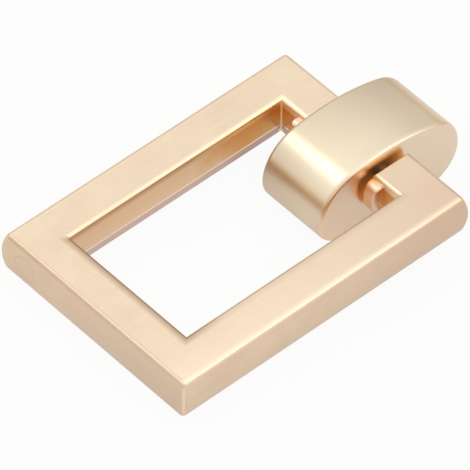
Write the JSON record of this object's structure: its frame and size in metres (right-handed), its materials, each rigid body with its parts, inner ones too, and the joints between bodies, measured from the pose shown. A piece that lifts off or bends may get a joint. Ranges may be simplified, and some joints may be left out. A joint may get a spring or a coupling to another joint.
{
  "type": "cabinet ring pull",
  "caption": "Rectangular ring pull in brushed champagne-gold brass: a square-cornered ring that swings on a pin through an oval post with a flat, tapped back.",
  "frame": {"origin": "centre of the post's flat back, at the mouth of its screw hole", "axes": "+Z out of the furniture, along the screw; X along the hinge; the ring's free end towards -Y"},
  "size_m": [0.047, 0.0788, 0.016],
  "materials": {
    "ring_brass": "brushed satin champagne gold, rose tone, clear lacquer",
    "post_brass": "fine satin champagne gold, clear lacquer",
    "pin_steel": "ground, bright"
  },
  "bodies": {
    "post": {"post": "post_brass", "hinge_pin": "pin_steel"},
    "ring": {"ring_frame": "ring_brass", "side_arm": "ring_brass", "joint_pin": "ring_brass"}
  },
  "joints": [
    {"name": "ring_hinge", "type": "hinge", "parent": "post", "child": "ring", "pos_m": [0, -0.0009, 0.0092], "axis": [-1, 0, 0], "range_deg": [0, 188]}
  ]
}
